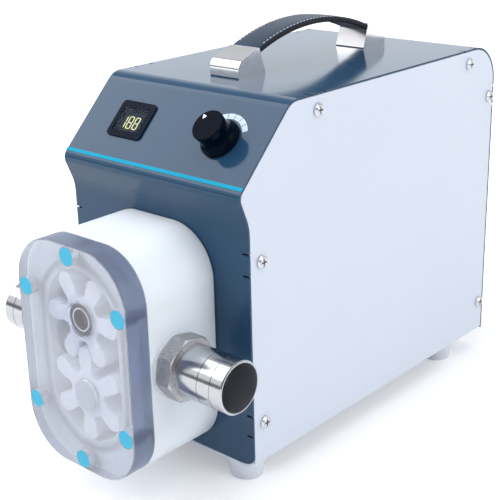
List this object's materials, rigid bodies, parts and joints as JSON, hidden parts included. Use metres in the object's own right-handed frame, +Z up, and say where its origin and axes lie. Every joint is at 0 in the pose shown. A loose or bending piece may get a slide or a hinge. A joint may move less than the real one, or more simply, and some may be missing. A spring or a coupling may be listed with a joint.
{
  "type": "viscous liquid pump",
  "caption": "Bench-top lobe pump for thick liquids: clear-fronted rotor head with two hose tails on a sheet-metal drive case with a speed knob, a display and a strap handle.",
  "frame": {"origin": "on the floor under the feet, at the middle of the overall width and of the overall length", "axes": "+Z up, the pump head points to -Y, the hose tails point to +X and -X"},
  "size_m": [0.2, 0.3544, 0.2752],
  "materials": {
    "blue_grey_sheet": "mirror-gloss blue-grey coating",
    "white_sheet": "smooth white powder coat",
    "steel": "machined steel",
    "chrome": "bright chrome",
    "stainless": "polished stainless steel, cast hexagon",
    "zinc_steel": "zinc-plated steel",
    "aluminium": "natural aluminium",
    "white_plastic": "satin white engineering plastic",
    "clear_acrylic": "polished clear acrylic",
    "cyan_plastic": "satin cyan plastic",
    "blue_strip": "bright blue film",
    "black_plastic": "black moulded plastic",
    "black_gloss": "glossy black plastic",
    "smoked_window": "smoked clear window",
    "lit_segment": "lit yellow-green segment",
    "white_mark": "white printed mark",
    "leather": "dark blue-grey leather with stitched edges",
    "white_rubber": "white soft rubber",
    "seal_rubber": "translucent silicone",
    "black_rubber": "black nitrile",
    "circuit_board": "green circuit board",
    "glass": "clear glass tube with plated ends",
    "motor_paint": "black painted motor"
  },
  "bodies": {
    "case": {"front_top_shell": "blue_grey_sheet", "rear_panel": "blue_grey_sheet", "base_pan": "white_sheet", "side_panel_right": "white_sheet", "side_panel_left": "white_sheet", "side_screws_right": "chrome", "side_screws_left": "chrome", "feet": "white_rubber", "foot_screws": "zinc_steel", "base_screws": "zinc_steel", "rear_screws": "chrome", "accent_strip": "blue_strip", "display_bezel": "black_plastic", "display_window": "smoked_window", "display_board": "circuit_board", "display_digits": "lit_segment", "dial_scale": "white_mark", "potentiometer": "steel", "potentiometer_nut": "chrome", "handle_strap": "leather", "handle_core": "steel", "handle_cap_front": "chrome", "handle_cap_rear": "chrome", "handle_screws": "zinc_steel", "pump_housing": "white_plastic", "pump_cover": "clear_acrylic", "cover_seal": "seal_rubber", "cover_screws": "stainless", "screw_caps": "cyan_plastic", "idler_pin": "white_plastic", "shaft_seal": "black_rubber", "shaft_bearing": "steel", "hose_tail_right": "stainless", "hose_tail_left": "stainless", "port_washers": "white_plastic", "mount_plate": "zinc_steel", "pump_mount_screws": "zinc_steel", "motor_bracket": "zinc_steel", "gearbox_screws": "zinc_steel", "gearmotor": "motor_paint", "power_supply": "aluminium", "speed_control_board": "circuit_board", "board_standoffs": "white_plastic", "power_inlet": "black_plastic", "inlet_pins": "chrome", "fan_frame": "black_plastic"},
    "drive": {"drive_shaft": "stainless", "drive_rotor": "white_plastic", "rotor_bolt": "stainless", "shaft_coupling": "aluminium", "output_shaft": "steel"},
    "idler": {"idler_rotor": "white_plastic"},
    "fan": {"fan_rotor": "black_plastic"},
    "knob": {"speed_knob": "black_gloss", "knob_pointer": "white_mark", "potentiometer_shaft": "aluminium"},
    "drawer": {"fuse_drawer": "black_plastic", "fuse": "glass"},
    "rocker": {"rocker_switch": "black_gloss"}
  },
  "joints": [
    {"name": "drive_spin", "type": "hinge", "parent": "case", "child": "drive", "pos_m": [0, -0.1381, 0.12045], "axis": [0, 1, 0], "continuous": true},
    {"name": "idler_spin", "type": "hinge", "parent": "case", "child": "idler", "pos_m": [0, -0.1381, 0.07015], "axis": [0, 1, 0], "continuous": true},
    {"name": "fan_spin", "type": "hinge", "parent": "case", "child": "fan", "pos_m": [0.034, 0.16055, 0.1487], "axis": [0, 1, 0], "continuous": true},
    {"name": "knob_turn", "type": "hinge", "parent": "case", "child": "knob", "pos_m": [0.043, -0.08692, 0.22178], "axis": [0, -0.7064, 0.7078], "range_deg": [-182, 88]},
    {"name": "fuse_drawer_slide", "type": "slide", "parent": "case", "child": "drawer", "axis": [0, 1, 0], "range_m": [0, 0.02]},
    {"name": "rocker_tilt", "type": "hinge", "parent": "case", "child": "rocker", "pos_m": [-0.042, 0.17375, 0.0845], "axis": [1, 0, 0], "range_deg": [-14, 0]}
  ],
  "couplings": [
    {"joint": "idler_spin", "follows": "drive_spin", "ratio": -1}
  ]
}
